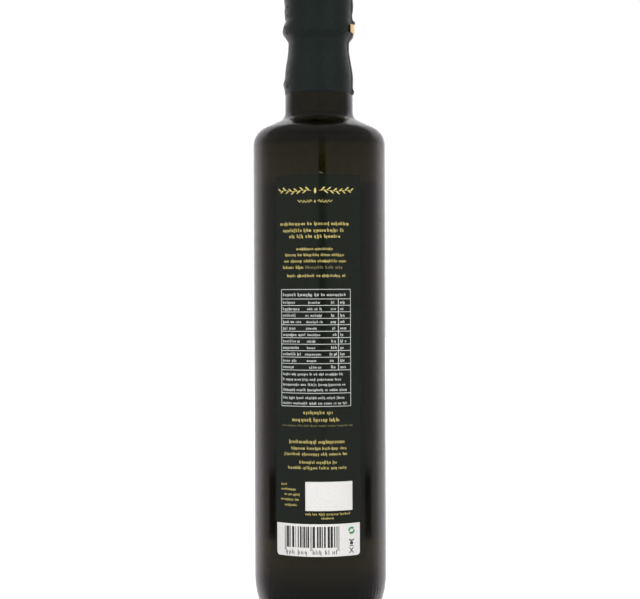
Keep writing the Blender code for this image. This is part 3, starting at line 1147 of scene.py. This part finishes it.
def build_labels():
    for name, node, angle, width in (
        ("back_label_film", "back_label", BACK_LABEL_ANGLE, BACK_LABEL_WIDTH),
        ("front_label_film", "front_label", FRONT_LABEL_ANGLE, FRONT_LABEL_WIDTH),
    ):
        piece = curved_plate(
            name,
            angle,
            width,
            (LABEL_BOTTOM, LABEL_TOP),
            BODY_RADIUS + LABEL_LIFT,
            LABEL_THICKNESS,
            LABEL_CORNER,
            label_material(name),
        )
        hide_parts(node)
    gold = ink_material("gold_ink", (0.50, 0.41, 0.13), (0.60, 0.50, 0.17))
    faint = ink_material("faint_gold_ink", (0.16, 0.14, 0.06), (0.22, 0.19, 0.08))
    white = ink_material("white_ink", (0.52, 0.54, 0.52), (0.62, 0.64, 0.62))
    panel = ink_material("panel_white", (0.60, 0.59, 0.575), (0.645, 0.635, 0.62), 0.3)
    black = ink_material("black_ink", (0.012, 0.012, 0.012), (0.022, 0.022, 0.021))
    green = ink_material("green_ink", (0.030, 0.20, 0.055), (0.045, 0.26, 0.075))
    print_rows("back_print_gold", gold, 11, BACK_GARLANDS, GOLD_ROWS)
    print_rows("back_print_faint", faint, 12, (), DIM_ROWS)
    print_white(white)
    print_panels(panel)
    print_bars(black)
    print_green(green)
    print_front(gold)


def dress_cap():
    """The closure keeps its CAD shape, under the film, and gets its gold lacquer."""
    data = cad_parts["cap"].data
    data.materials.clear()
    data.materials.append(gold_material("gold_lacquer", 0.28))


# Studio

CAMERA_DISTANCE = 0.640
EYE_LEVEL = 0.151
PIXEL = 0.4722 * MM
IMAGE_WIDTH = 640
AIM = (0.15 * MM, 147.9 * MM)
ROLL = -0.2
SENSOR = 36.0
CLIP_START = 0.01

# The light of each direction. Facing is -1 in front of the bottle, where the camera is, 0
# beside it and 1 behind it, and up is 1 overhead. Aside and rise are a direction's slopes to
# the right and up, in front. A pair says where a smooth change starts and ends
LEAST_DEPTH = 0.001
LEAST_SPREAD = 0.0001
IN_FRONT = (-0.05, 0.0)
BACKDROP = ((0.12, 0.0), (0.31, 0.13), (0.41, 0.21), (0.515, 0.44), (0.63, 0.65), (0.75, 0.70))
BACKDROP_REACH = (0.95, 1.5)
BACKDROP_TINT = (1.0, 0.93, 0.97)
TINT_START = (0.0, 0.25)
TINT_END = (0.8, 0.98)
FRONT_STEP = (0.082, 0.115)
FRONT_LOW = 0.34
FRONT_HIGH = 0.27
ZENITH = (0.75, 1.0)
ZENITH_GAIN = 0.06
NADIR = (-0.6, -0.25)
NADIR_LOSS = 0.08
WIDE_GAP_LEFT = (-0.035, -0.005)
WIDE_GAP_RIGHT = (0.175, 0.215)
WIDE_GAP_BOTTOM = (-0.115, -0.03)
WIDE_GAP_DEPTH = 0.97
WIDE_GAP_FADE = (0.09, 0.135)
WIDE_GAP_FADED = 0.45
WIDE_GAP_TOP = (0.2, 0.45)
THIN_GAPS = (-0.587, 0.657)
THIN_GAP_EDGE = (0.01, 0.05)
THIN_GAP_DEPTH = 0.2
THIN_GAP_BOTTOM = (0.08, 0.12)
GLINT_RISE = 0.0888
GLINT_ASIDE = 0.055
GLINT_LEVEL = 2.0
GLINT_HALF_HEIGHT = (0.0002, 0.0008)
GLINT_HALF_WIDTH = (0.055, 0.08)
STAND_FACING = 0.03
STAND_EDGE = (0.07, 0.20)
STAND_DEPTH = 0.8
STAND_TOP = (-0.138, -0.122)
STAND_BOTTOM = (-0.184, -0.172)
PAPER_LEVEL = 1.05

FLOOR_RADIUS = 4.0
FLOOR_SIDES = 96
FLOOR_DROP = 0.05 * MM
FLOOR_COLOUR = (0.88, 0.88, 0.88, 1.0)
FLOOR_GLOW_NEAR = 0.75
FLOOR_GLOW_REACH = (0.3, 1.2)

LAMP_SIZE = 0.8
LAMP_POWER = 17.0
LAMP_AIM = (0.0, 0.0, 0.15)
LAMPS = (("lamp_left", (-0.9, -1.1, 0.9)), ("lamp_right", (0.9, -1.1, 0.9)))


def build_camera():
    data = bpy.data.cameras.new("camera")
    data.sensor_width = SENSOR
    data.lens = SENSOR * CAMERA_DISTANCE / (IMAGE_WIDTH * PIXEL)
    data.clip_start = CLIP_START
    camera = bpy.data.objects.new("camera", data)
    place = Vector((0.0, -CAMERA_DISTANCE, EYE_LEVEL))
    aim = Vector((AIM[0], 0.0, AIM[1]))
    camera.location = place
    turn = (aim - place).to_track_quat("-Z", "Y")
    camera.rotation_mode = "QUATERNION"
    roll = Vector((0.0, 0.0, 1.0))
    camera.rotation_quaternion = turn @ Quaternion(roll, math.radians(ROLL))
    bpy.context.scene.collection.objects.link(camera)
    bpy.context.scene.camera = camera


def rising(tree, value, change, most=1.0):
    """From 0, where a change starts, to most, where it ends."""
    return ramp(tree, value, *change, 0.0, most)


def falling(tree, value, change, most=1.0, least=0.0):
    """From most, where a change starts, to least, where it ends."""
    return ramp(tree, value, *change, most, least)


def product(tree, first, *others):
    for other in others:
        first = maths(tree, "MULTIPLY", first, other)
    return first


def off_from(tree, value, middle):
    return maths(tree, "ABSOLUTE", maths(tree, "SUBTRACT", value, middle))


def all_but(tree, share):
    return maths(tree, "SUBTRACT", 1.0, share)


def backdrop_level(tree, facing, back, up):
    """The white backdrop behind the bottle, which reaches as far down as up."""
    backdrop = put(tree, "ShaderNodeValToRGB", {"Fac": facing})
    elements = backdrop.color_ramp.elements
    for place, level in BACKDROP[2:]:
        elements.new(place)
    for element, (place, level) in zip(elements, BACKDROP):
        element.position = place
        element.color = (level, level, level, 1.0)
    behind = maths(tree, "MAXIMUM", back, LEAST_DEPTH)
    steep = maths(tree, "DIVIDE", maths(tree, "ABSOLUTE", up), behind)
    return product(tree, backdrop.outputs[0], falling(tree, steep, BACKDROP_REACH))


def front_level(tree, up):
    """The dim panels, which change a little with height."""
    level = falling(tree, up, FRONT_STEP, FRONT_LOW, FRONT_HIGH)
    level = maths(tree, "ADD", level, rising(tree, up, ZENITH, ZENITH_GAIN))
    return maths(tree, "SUBTRACT", level, falling(tree, up, NADIR, NADIR_LOSS))


def gap_share(tree, aside, rise, in_front):
    """What the gaps between the panels take away: a wide one, and two thin ones higher up."""
    wide = product(
        tree,
        rising(tree, aside, WIDE_GAP_LEFT),
        falling(tree, aside, WIDE_GAP_RIGHT),
        rising(tree, rise, WIDE_GAP_BOTTOM, WIDE_GAP_DEPTH),
        falling(tree, rise, WIDE_GAP_FADE, 1.0, WIDE_GAP_FADED),
        falling(tree, rise, WIDE_GAP_TOP),
    )
    lines = [
        falling(tree, off_from(tree, aside, place), THIN_GAP_EDGE, THIN_GAP_DEPTH)
        for place in THIN_GAPS
    ]
    thin = product(tree, maths(tree, "ADD", *lines), rising(tree, rise, THIN_GAP_BOTTOM))
    return product(tree, maths(tree, "ADD", wide, thin), in_front)


def stand_share(tree, facing, up):
    """What a low dark stand at each side takes away."""
    return product(
        tree,
        falling(tree, off_from(tree, facing, STAND_FACING), STAND_EDGE, STAND_DEPTH),
        falling(tree, up, STAND_TOP),
        rising(tree, up, STAND_BOTTOM),
    )


def glint_level(tree, aside, rise, in_front):
    """A short bright line across the wide gap."""
    return product(
        tree,
        falling(tree, off_from(tree, rise, GLINT_RISE), GLINT_HALF_HEIGHT, GLINT_LEVEL),
        falling(tree, off_from(tree, aside, GLINT_ASIDE), GLINT_HALF_WIDTH),
        in_front,
    )


def build_world():
    """A studio: a white backdrop behind, and dim panels in front, with dark gaps between them
    and a dark stand at each side. The camera sees plain white past the bottle."""
    world = bpy.data.worlds.new("studio")
    bpy.context.scene.world = world
    world.use_nodes = True
    tree = world.node_tree
    tree.nodes.clear()
    way = put(tree, "ShaderNodeTexCoord").outputs["Generated"]
    parts = put(tree, "ShaderNodeSeparateXYZ", {"Vector": way}).outputs
    right, back, up = parts["X"], parts["Y"], parts["Z"]
    flat = maths(tree, "ADD", maths(tree, "POWER", right, 2.0), maths(tree, "POWER", back, 2.0))
    flat = maths(tree, "MAXIMUM", maths(tree, "SQRT", flat), LEAST_SPREAD)
    facing = maths(tree, "DIVIDE", back, flat)
    ahead = maths(tree, "MAXIMUM", maths(tree, "MULTIPLY", back, -1.0), LEAST_DEPTH)
    aside = maths(tree, "DIVIDE", right, ahead)
    rise = maths(tree, "DIVIDE", up, ahead)
    in_front = falling(tree, back, IN_FRONT)
    front = product(
        tree,
        front_level(tree, up),
        all_but(tree, gap_share(tree, aside, rise, in_front)),
        all_but(tree, stand_share(tree, facing, up)),
    )
    level = maths(tree, "ADD", front, backdrop_level(tree, facing, back, up))
    level = maths(tree, "ADD", level, glint_level(tree, aside, rise, in_front))
    side = product(tree, rising(tree, facing, TINT_START), falling(tree, facing, TINT_END))
    tint = mixed_colour(tree, side, WHITE[:3], BACKDROP_TINT)
    studio = put(tree, "ShaderNodeBackground", {"Color": tint, "Strength": level})
    paper = put(tree, "ShaderNodeBackground", {"Color": WHITE, "Strength": PAPER_LEVEL})
    seen = put(tree, "ShaderNodeLightPath").outputs["Is Camera Ray"]
    both = put(tree, "ShaderNodeMixShader", {0: seen, 1: studio.outputs[0], 2: paper.outputs[0]})
    put(tree, "ShaderNodeOutputWorld", {"Surface": both.outputs[0]})


def build_floor():
    """A pale floor, which the camera sees fade into the white paper."""
    material = bpy.data.materials.new("pale_floor")
    material.use_nodes = True
    tree = material.node_tree
    tree.nodes.clear()
    plain = put(tree, "ShaderNodeBsdfDiffuse", {"Color": FLOOR_COLOUR})
    seen = put(tree, "ShaderNodeLightPath").outputs["Is Camera Ray"]
    place = put(tree, "ShaderNodeTexCoord").outputs["Object"]
    away = put(tree, "ShaderNodeVectorMath", {0: place}, operation="LENGTH").outputs["Value"]
    fade = ramp(tree, away, *FLOOR_GLOW_REACH, FLOOR_GLOW_NEAR, PAPER_LEVEL)
    strength = product(tree, seen, fade)
    glow = put(tree, "ShaderNodeEmission", {"Color": WHITE, "Strength": strength})
    both = put(tree, "ShaderNodeAddShader", {0: plain.outputs[0], 1: glow.outputs[0]})
    put(tree, "ShaderNodeOutputMaterial", {"Surface": both.outputs[0]})
    mesh = bmesh.new()
    bmesh.ops.create_circle(mesh, cap_ends=True, radius=FLOOR_RADIUS, segments=FLOOR_SIDES)
    data = bpy.data.meshes.new("floor")
    mesh.to_mesh(data)
    mesh.free()
    data.materials.append(material)
    floor = bpy.data.objects.new("floor", data)
    floor.location.z = -FLOOR_DROP
    bpy.context.scene.collection.objects.link(floor)
    floor.visible_glossy = False
    floor.visible_transmission = False


def build_lamps():
    """Soft lamps that light matt surfaces evenly and don't show in the gloss."""
    for name, place in LAMPS:
        data = bpy.data.lights.new(name, "AREA")
        data.shape = "DISK"
        data.size = LAMP_SIZE
        data.energy = LAMP_POWER
        lamp = bpy.data.objects.new(name, data)
        lamp.location = place
        away = Vector(LAMP_AIM) - Vector(place)
        lamp.rotation_euler = away.to_track_quat("-Z", "Y").to_euler()
        lamp.visible_glossy = False
        lamp.visible_transmission = False
        bpy.context.scene.collection.objects.link(lamp)


build_glass()
build_oil()
dress_cap()
build_capsule()
build_tab()
build_labels()
build_camera()
build_world()
build_floor()
build_lamps()
bpy.context.scene.view_settings.view_transform = "Standard"
